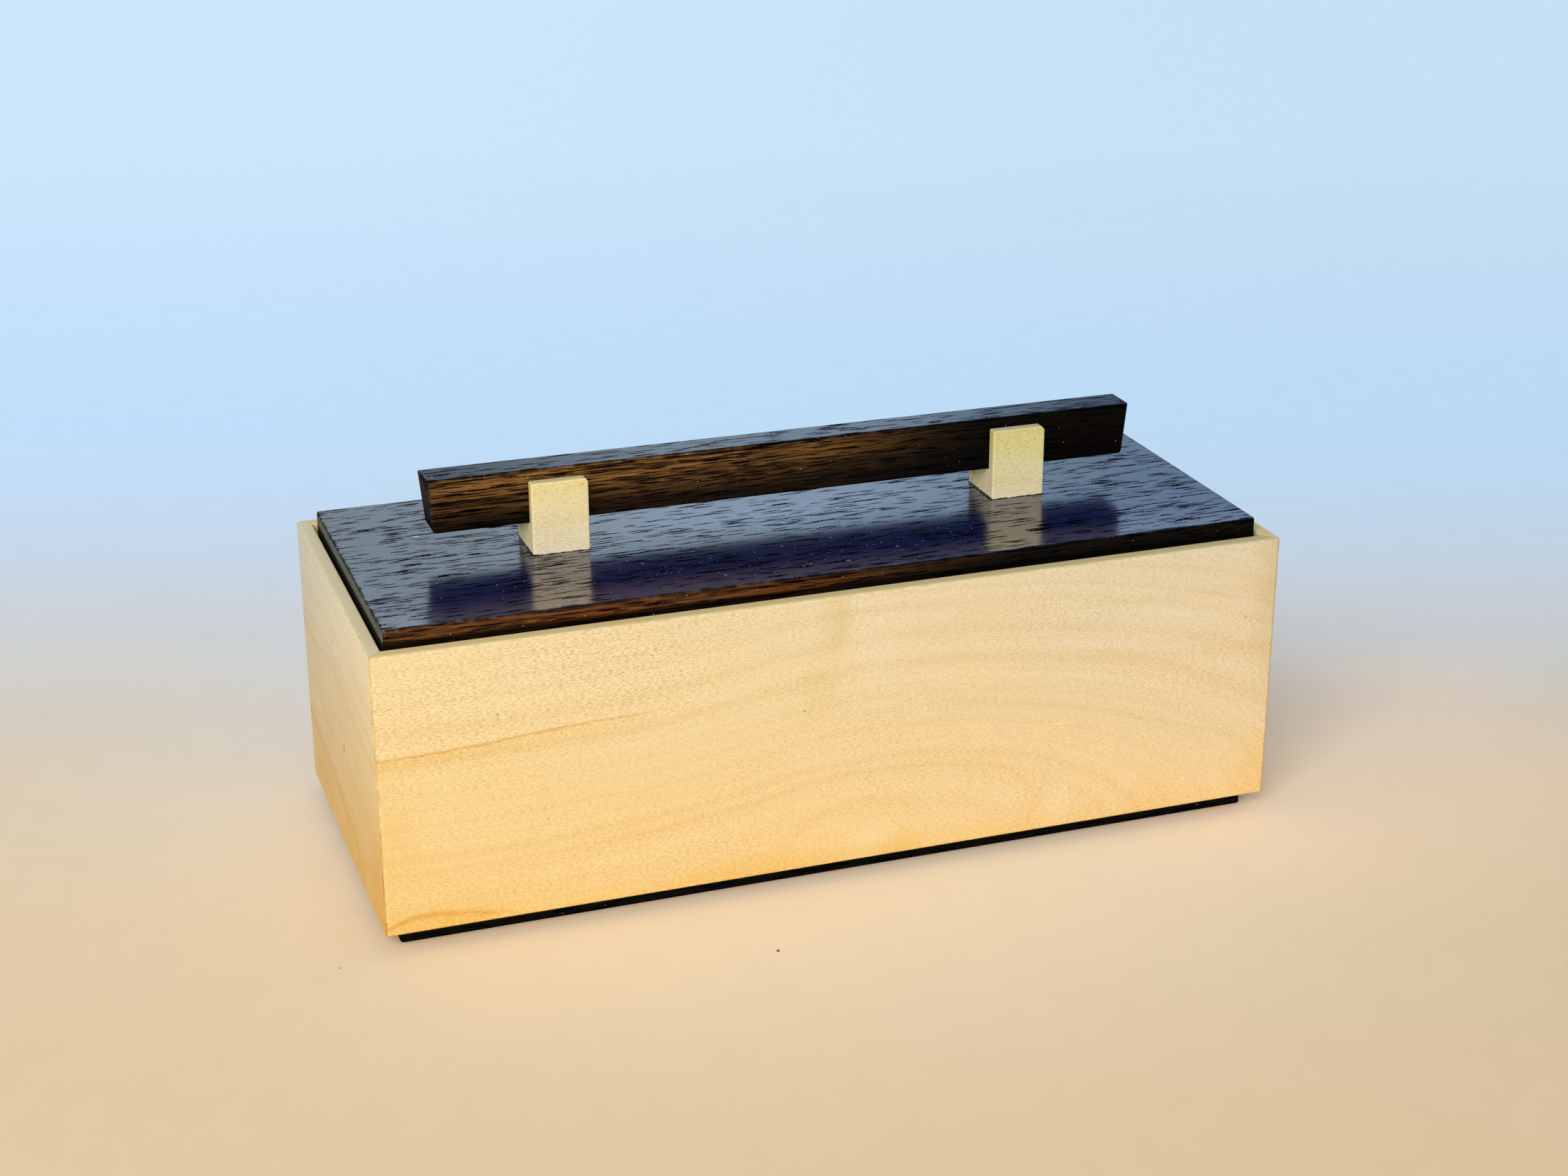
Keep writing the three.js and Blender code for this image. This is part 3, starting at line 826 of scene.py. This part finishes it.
MAPLE_BOARDS = {
    "front_wall": dict(
        name="front board maple", axes="XZY", face=front_y, tones=LONG_TONES, crown=5, droop=8.7,
        lines=FRONT_LINES, patches=FRONT_PATCHES, marks=FRONT_MARKS, rim=(WARM_RIM, COOL_RIM),
        # The stronger figure in the upper left is partly painted light.
        figured=((-85, 72), (80, 30)),
    ),
    "back_wall": dict(
        name="back board maple", axes="XZY", face=back_y, tones=LONG_TONES, crown=-38, droop=6,
        lines=[([(-30, 50), (10, 54), (60, 49), (127, 46)], 0.9, 7, 0.6, 30, 0)],
        rim=(WARM_RIM, COOL_RIM),
    ),
    "left_wall": dict(
        name="left board maple", axes="YZX", face=left_x, tones=SHORT_TONES, droop=5,
        lines=LEFT_LINES, patches=LEFT_PATCHES, marks=LEFT_MARKS, rim=((229, 210, 165), (231, 215, 177)),
    ),
    "right_wall": dict(
        name="right board maple", axes="YZX", face=right_x, tones=SHORT_TONES, crown=-14, droop=6,
        lines=[([(-52.7, 44), (-10, 49), (30, 46), (52.7, 42)], 0.9, 7, 0.5, 0, 20)],
        rim=(WARM_RIM, COOL_RIM),
    ),
}

for node, board in MAPLE_BOARDS.items():
    set_material(node, maple_board(node=node, **board))

# Handle blocks: greenish cream, pinker at the foot, with painted warm bounce light at the back of the web;
# as on the boards, the change from top to foot is partly painted light
BLOCK_TONES = {
    "left": ((245, 228, 190), (245, 228, 190), (244, 223, 158), (243, 222, 156)),
    "right": ((241, 224, 182), (241, 224, 181), (222, 211, 138), (221, 211, 136)),
}
# Tones of the blocks' tops, darker than their fronts: partly painted shade.
BLOCK_TOPS = {
    "left": ((212, 198, 148), (210, 196, 147)),
    "right": ((206, 196, 160), (204, 195, 158)),
}
OLIVE_SIDE = (1.05, 1.01, 0.80)
for side, tones in BLOCK_TONES.items():
    node = f"{side}_handle_block"
    low, high = corners_in_mm(node)
    bruise = ((high[0] - 1.6, low[1], high[2] - 1.6), (0.9, 1.0, 0.5), srgb(222, 182, 112))
    # Painted warm bounce light at the back of the web, under the bar.
    web_end_bounce = ((low[0], high[1] - 3.0, low[2] + 6.0), (2.5, 4.0, 4.0), srgb(216, 166, 84))
    block = dict(
        name=f"{side} block maple", axes="XZY", face=low[1], tones=tones, edge=LIGHTER_EDGE, edge_width=0.5,
        rim=BLOCK_TOPS[side], patches=[((low[0], 97.0), (0.4, 90.0), OLIVE_SIDE, 1.0)],
        marks=[bruise, web_end_bounce] if side == "left" else [web_end_bounce],
    )
    set_material(node, maple_board(node=node, **block))

RAW_MAPLE = ((214, 186, 138), (212, 182, 132), (218, 192, 146), (216, 190, 142))
CORNERS = [(end, side) for end in ("front", "back") for side in ("left", "right")]
for end, side in CORNERS:
    node = f"corner_spline_{end}_{side}"
    board = dict(name=f"{end} {side} spline maple", axes="XZY", face=0.0, tones=RAW_MAPLE)
    set_material(node, maple_board(node=node, **board))

# Lid, bar and base

lid_low, lid_high = corners_in_mm("lid_panel")
set_material("lid_panel", wenge(
    # Painted sheen: the dark blue top, the purple front of the top and the grey-green end tone stand for
    # the room's reflection.
    "lid wenge", "lid_panel", top_tone_and_sheen=srgb(0, 9, 58), front_sheen_tone=srgb(70, 62, 84),
    end_tone_and_sheen=srgb(114, 126, 114), dark=srgb(12, 9, 7), brown=srgb(122, 76, 38), brown_along=(58, -60),
    # Painted shade at the foot of the lid's edge, by the rim.
    brown_up=(80, 83), satin=1, dull_ends=0.82, foot=(83.1, 84.4),
    # Painted sheen: a paler patch in the middle of the top.
    painted_sheen=((-4, 12, 87.1), (85, 25, 5), srgb(118, 132, 168)),
    motes=0.06, dusty=((0, -34, 87), (80, 16, 9)),
    flames=[
        ((-70, lid_low[1], lid_high[2] - 3), (18, 3, 2.5)),
        ((-12, lid_low[1], lid_high[2] - 3), (20, 3, 3)),
    ],
    chips=[
        ((-119, 26.2, lid_high[2]), (0.5, 0.7, 1), srgb(168, 110, 84)),
        ((-100, 17, lid_high[2]), (1.3, 0.4, 1), srgb(240, 240, 236)),
    ],
))
set_material("handle_bar", wenge(
    # Painted sheen: the purple-grey top and the grey-blue end tone stand for the room's reflection.
    "bar wenge", "handle_bar", top_tone_and_sheen=srgb(30, 30, 42), front_sheen_tone=srgb(30, 30, 42),
    end_tone_and_sheen=srgb(34, 40, 52), dark=srgb(10, 7, 5), brown=srgb(154, 106, 54), brown_along=(58, -28),
    brown_up=(97, 108.5), end_depth=1.5, satin=0.88, dull_ends=0.42, motes=0.04,
))
set_material("base_panel", wenge(
    "base wenge", "base_panel", top_tone_and_sheen=srgb(30, 25, 24), front_sheen_tone=srgb(30, 25, 24),
    end_tone_and_sheen=srgb(8, 7, 6), dark=srgb(5, 5, 4), brown=srgb(16, 12, 9), brown_along=(60, -60),
    brown_up=(0, 5), satin=0.03, motes=0.05,
))

BRASS = brass("screw brass")
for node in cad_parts:
    if "screw" in node:
        set_material(node, BRASS)


# Glue at the feet of the blocks and in the mitres

GLUE = dried_glue("dried glue")
GLUE_STEP = 0.3 * MM
GLUE_SINK = 0.03 * MM
GLUE_WAVE = 1.1 * MM
GLUE_GRAIN = 0.37 * MM
CORNER_SHARE = 0.08
CRUMB_SIZES = (0.06 * MM, 0.2 * MM)
CRUMB_SPREAD = 0.45 * MM
CRUMB_START = 0.6 * MM
FILM = glue_amber("mitre glue")
FILM_THICKNESS = 0.3 * MM
FILM_SET_BACK = 0.45 * MM
FILM_UNEVEN = 0.02 * MM
FILM_WAVE = 2.3 * MM
FILM_DEPTH = 5.0 * MM
FILM_STEP = 0.8 * MM
FILM_SLOPE = 0.9 * MM
FILM_TOP_GAP = 0.06 * MM
FILM_LEAN = 1.3

# Out from the front, right, back and left side of a block's foot
OUTWARD = [Vector((0, -1)), Vector((1, 0)), Vector((0, 1)), Vector((-1, 0))]


def foot_outline(low, high):
    """Points round the foot of a block, each with its side and how far along that side it is."""
    corners = [(low.x, low.y), (high.x, low.y), (high.x, high.y), (low.x, high.y)]
    for side, start in enumerate(corners):
        start = Vector(start)
        run = Vector(corners[(side + 1) % 4]) - start
        count = max(2, round(run.length / GLUE_STEP))
        for step in range(count):
            share = step / count
            yield start + run * share, side, share


def bead_section(thickness, side, share):
    """Outward direction and thickness of the bead, eased round the corners of the foot."""
    outward, size = OUTWARD[side].copy(), thickness[side]
    turns = ((share < CORNER_SHARE, (side - 1) % 4), (share > 1 - CORNER_SHARE, (side + 1) % 4))
    for near, other in turns:
        if near:
            outward += OUTWARD[other]
            size = (size + thickness[other]) / 2
    return outward.normalized(), size


def skin(mesh, rows, closed):
    """Faces between each row of points and the next, and back to the first row if closed."""
    for row, after in zip(rows, rows[1:] + rows[:1] if closed else rows[1:]):
        for index, start in enumerate(row):
            following = (index + 1) % len(row)
            mesh.faces.new((start, row[following], after[following], after[index]))


def lay_bead(mesh, low, high, thickness):
    """A thin uneven bead round a block's foot; thickness is its size at the front, right, back and left."""
    rings = []
    for point, side, share in foot_outline(low, high):
        outward, size = bead_section(thickness, side, share)
        coarse = noise.noise(Vector((point.x, point.y, low.x)) / GLUE_WAVE)
        fine = noise.noise(Vector((point.y, point.x, low.y)) / GLUE_GRAIN)
        reach = size * max(0.15, 1.0 + 0.9 * coarse + 0.6 * fine) * MM
        section = [
            (-GLUE_SINK, -GLUE_SINK),
            (reach, -GLUE_SINK),
            (reach * 0.75, reach * 0.42),
            (reach * 0.3, reach * 0.8),
            (-GLUE_SINK, reach),
        ]
        rings.append([
            mesh.verts.new((point.x + outward.x * out, point.y + outward.y * out, low.z + up))
            for out, up in section
        ])
    skin(mesh, rings, closed=True)


def drop_crumbs(mesh, low, high, count, seed):
    """Crumbs of glue by the left side of a block's foot, thickest at its front corner."""
    chance = random.Random(seed)
    for _ in range(count):
        size = chance.uniform(*CRUMB_SIZES)
        away = size + chance.expovariate(1 / CRUMB_SPREAD)
        back = chance.betavariate(1.0, 1.5) * (high.y - low.y)
        middle = Vector((low.x - away, low.y - CRUMB_START + back, low.z + size * 0.35))
        crumb = bmesh.ops.create_icosphere(mesh, subdivisions=1, radius=size)["verts"]
        for vert in crumb:
            vert.co = middle + vert.co * chance.uniform(0.7, 1.25)
            vert.co.z = max(vert.co.z, low.z - GLUE_SINK)


def glue_film(end, side):
    """The dried film in a corner's mitre, set a little unevenly back from the rounded corner."""
    low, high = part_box(f"{end}_wall")
    side_low, side_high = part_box(f"{side}_wall")
    across = 1 if side == "left" else -1
    inward = 1 if end == "front" else -1
    corner_x = side_low.x if side == "left" else side_high.x
    corner_y = low.y if end == "front" else high.y
    corner = Vector((corner_x, corner_y, 0))
    into = Vector((across, inward, 0)).normalized()
    aside = Vector((-into.y, into.x, 0)) * FILM_THICKNESS / 2
    mesh = bmesh.new()
    rows = []
    steps = round((high.z - low.z - FILM_SLOPE) / FILM_STEP)
    heights = [low.z + FILM_SLOPE + step * FILM_STEP for step in range(steps)] + [high.z - FILM_TOP_GAP]
    for height in heights:
        uneven = noise.noise(Vector((corner.x, corner.y, height)) / FILM_WAVE)
        sloped = max(0.0, height - high.z + FILM_SLOPE) * FILM_LEAN
        outer = corner + into * (FILM_SET_BACK + FILM_UNEVEN * uneven + sloped)
        inner = corner + into * FILM_DEPTH
        rows.append([
            mesh.verts.new((place.x, place.y, height))
            for place in (outer - aside, outer + aside, inner + aside, inner - aside)
        ])
    skin(mesh, rows, closed=False)
    mesh.faces.new(rows[0])
    mesh.faces.new(rows[-1])
    bmesh.ops.recalc_face_normals(mesh, faces=mesh.faces)
    film = add_object(f"{end}_{side}_mitre_glue", mesh, FILM)
    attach(film, "box")


def glue_bead(block, thickness, crumbs, seed):
    """The bead round a block's foot, with its crumbs."""
    low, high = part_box(block)
    mesh = bmesh.new()
    lay_bead(mesh, low, high, thickness)
    drop_crumbs(mesh, low, high, crumbs, seed)
    bmesh.ops.recalc_face_normals(mesh, faces=mesh.faces)
    bead = add_object(f"{block}_glue", mesh, GLUE)
    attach(bead, "lid")


for end, side in CORNERS:
    glue_film(end, side)
glue_bead("left_handle_block", thickness=(0.15, 0.12, 0.2, 0.32), crumbs=46, seed=3)
glue_bead("right_handle_block", thickness=(0.2, 0.12, 0.2, 0.36), crumbs=40, seed=8)


# Floor: sand colour round the box, fading to sky blue further off

FLOOR_RADIUS = 4.0

# How far from the box, in metres, and the colour there
FLOOR_STOPS = [
    (-0.19, (222, 198, 161)),
    (-0.075, (226, 203, 169)),
    (0.011, (224, 208, 184)),
    (0.062, (220, 210, 197)),
    (0.090, (216, 213, 207)),
    (0.120, (209, 212, 214)),
    (0.152, (203, 210, 219)),
    (0.186, (196, 210, 227)),
    (0.263, (191, 216, 241)),
    (0.352, (189, 219, 247)),
    (0.930, (200, 226, 248)),
    (1.500, (202, 226, 248)),
]

# Light that reaches the paper by the box: its own colour is that much paler than it looks
FLOOR_LIGHT = (0.85, 0.86, 0.86)
PAPER_LEFT = (1.06, 1.05, 1.04)
PAPER_RIGHT = (0.985, 0.985, 0.97)

# Painted light on the floor: paler paper round the box and in its shadow. Middle, half size and tint
PAINTED_LIGHT_PATCHES = [
    ((0.0, 0.0), (0.26, 0.20), (1.02, 1.10, 1.22)),
    ((0.17, 0.03), (0.12, 0.12), (1.14, 1.05, 0.98)),
]
CRUMB_TONE = srgb(84, 66, 48)

# Middle, half size and strength
CRUMBS = [
    ((-0.0016, -0.0902), (0.0006, 0.0009), 0.9),
    ((-0.1132, -0.0988), (0.0005, 0.0006), 0.4),
]
MOTTLE_SIZE = (0.011111, 0.016667, 0.016667)
MOTTLE_TINT = (0.985, 0.985, 0.985)
GLOW_FROM = 0.05
GLOW_FULL = 0.20


def floor_paper():
    """A pale floor with a soft change of colour away from the photographer."""
    material, graph, shader = new_material("floor paper")
    place = graph.add("ShaderNodeTexCoord").outputs["Object"]
    away = graph.split(place)["Y"]
    nearest, farthest = FLOOR_STOPS[0][0], FLOOR_STOPS[-1][0]
    ramp = graph.add("ShaderNodeValToRGB", {"Fac": graph.share(away, nearest, farthest)})
    elements = ramp.color_ramp.elements
    while len(elements) < len(FLOOR_STOPS):
        elements.new(0.5)
    for element, (distance, tint) in zip(elements, FLOOR_STOPS):
        element.position = (distance - nearest) / (farthest - nearest)
        element.color = srgb(*tint)
    sideways = graph.between(graph.split(place)["X"], -0.4, 0.4)
    side_tint = graph.mix(sideways, (*PAPER_LEFT, 1.0), (*PAPER_RIGHT, 1.0))
    colour = graph.mix(1.0, ramp.outputs["Color"], side_tint, "MULTIPLY")
    mottle = graph.noise(place, MOTTLE_SIZE, detail=4.0, roughness=0.6)
    colour = graph.tinted(graph.between(mottle, 0.35, 0.7), colour, MOTTLE_TINT)
    # Painted light: paler paper round the box and in its shadow.
    for middle, half_size, tint in PAINTED_LIGHT_PATCHES:
        colour = graph.tinted(through_mark(graph, place, middle, half_size, core=0.3), colour, tint)
    for middle, half_size, strength in CRUMBS:
        crumb = graph.times(through_mark(graph, place, middle, half_size, core=0.5), strength)
        colour = graph.mix(crumb, colour, CRUMB_TONE)
    graph.feed(shader.inputs["Base Color"], graph.vector("DIVIDE", colour, FLOOR_LIGHT))
    shader.inputs["Roughness"].default_value = 0.85
    shader.inputs["Specular IOR Level"].default_value = 0.1
    glow = graph.add("ShaderNodeEmission", {"Color": colour, "Strength": 1.0})
    far = graph.between(away, GLOW_FROM, GLOW_FULL)
    blend = graph.add("ShaderNodeMixShader", {"Fac": graph.times(seen_directly(graph), far)})
    graph.feed(blend.inputs[1], shader.outputs[0])
    graph.feed(blend.inputs[2], glow.outputs[0])
    output = material.node_tree.get_output_node("ALL")
    graph.feed(output.inputs["Surface"], blend.outputs[0])
    return material


def seen_directly(graph):
    """1 for what the camera sees straight on, in a mirror or through glass; 0 for what only lights."""
    path = graph.add("ShaderNodeLightPath").outputs
    mirrored = graph.math("MAXIMUM", path["Is Glossy Ray"], path["Is Transmission Ray"])
    return graph.math("MAXIMUM", path["Is Camera Ray"], mirrored)


def make_floor():
    """A wide round floor under the box, turned as the camera is."""
    mesh = bmesh.new()
    bmesh.ops.create_circle(mesh, cap_ends=True, cap_tris=False, segments=96, radius=FLOOR_RADIUS)
    floor = add_object("floor", mesh, floor_paper())
    floor.rotation_euler = (0, 0, -CAMERA_TURN)


make_floor()


# Light and camera

ROOM_WHITE = (239, 247, 255)
OUTSIDE = (214, 232, 250)
MIRRORED_LEFT = (232, 250, 255)
MIRRORED_RIGHT = (172, 212, 255)


def make_room_light():
    """A soft even room. What shines in it is a pale sheet, brightest part-way up and to the left."""
    world = bpy.data.worlds.new("room")
    bpy.context.scene.world = world
    world.use_nodes = True
    world.node_tree.nodes.clear()
    graph = Graph(world.node_tree)
    lit = graph.add("ShaderNodeBackground", {"Color": srgb(*ROOM_WHITE), "Strength": AMBIENT_LEVEL})
    direction = graph.split(graph.add("ShaderNodeTexCoord").outputs["Generated"])
    sideways = graph.less(
        graph.times(direction["X"], math.cos(CAMERA_TURN)),
        graph.times(direction["Y"], math.sin(CAMERA_TURN)),
    )
    tone = graph.mix(graph.between(sideways, -0.3, 0.3), srgb(*MIRRORED_LEFT), srgb(*MIRRORED_RIGHT))
    sheet = graph.times(
        graph.between(direction["Z"], 0.05, 0.24, 0.4, 1.0),
        graph.between(direction["Z"], 0.50, 0.75, 1.0, 0.3),
    )
    mirrored = graph.add("ShaderNodeBackground", {"Color": tone, "Strength": sheet})
    outside = graph.add("ShaderNodeBackground", {"Color": srgb(*OUTSIDE), "Strength": 1.0})
    path = graph.add("ShaderNodeLightPath").outputs
    unlit = graph.add("ShaderNodeMixShader", {"Fac": path["Is Glossy Ray"]})
    graph.feed(unlit.inputs[1], outside.outputs[0])
    graph.feed(unlit.inputs[2], mirrored.outputs[0])
    blend = graph.add("ShaderNodeMixShader", {"Fac": seen_directly(graph)})
    graph.feed(blend.inputs[1], lit.outputs[0])
    graph.feed(blend.inputs[2], unlit.outputs[0])
    graph.add("ShaderNodeOutputWorld", {"Surface": blend.outputs[0]})


def make_window_light():
    """One large soft light from the left of the camera."""
    direction = Vector(WINDOW_FROM).normalized()
    light = bpy.data.lights.new("window", "AREA")
    light.shape = "RECTANGLE"
    light.size = WINDOW_WIDTH
    light.size_y = WINDOW_HEIGHT
    light.energy = WINDOW_LEVEL * (math.pi * WINDOW_AWAY) ** 2
    light.color = srgb(255, 253, 250)[:3]
    lamp = bpy.data.objects.new("window", light)
    lamp.location = direction * WINDOW_AWAY
    lamp.rotation_euler = direction.to_track_quat("Z", "Y").to_euler()
    bpy.context.scene.collection.objects.link(lamp)


def make_camera():
    """The camera at the photographer's standpoint."""
    forward = Vector((
        math.sin(CAMERA_TURN) * math.cos(CAMERA_TILT),
        math.cos(CAMERA_TURN) * math.cos(CAMERA_TILT),
        -math.sin(CAMERA_TILT),
    ))
    level = Vector((math.cos(CAMERA_TURN), -math.sin(CAMERA_TURN), 0))
    upright = level.cross(forward)
    right = level * math.cos(CAMERA_ROLL) + upright * math.sin(CAMERA_ROLL)
    up = upright * math.cos(CAMERA_ROLL) - level * math.sin(CAMERA_ROLL)
    data = bpy.data.cameras.new("camera")
    data.lens = LENS
    data.sensor_fit = "HORIZONTAL"
    data.sensor_width = FILM_WIDTH
    camera = bpy.data.objects.new("camera", data)
    turn = Matrix((right, up, -forward)).transposed().to_4x4()
    camera.matrix_world = Matrix.Translation(CAMERA_PLACE) @ turn
    bpy.context.scene.collection.objects.link(camera)
    bpy.context.scene.camera = camera


make_room_light()
make_window_light()
make_camera()
bpy.context.scene.view_settings.view_transform = "Standard"
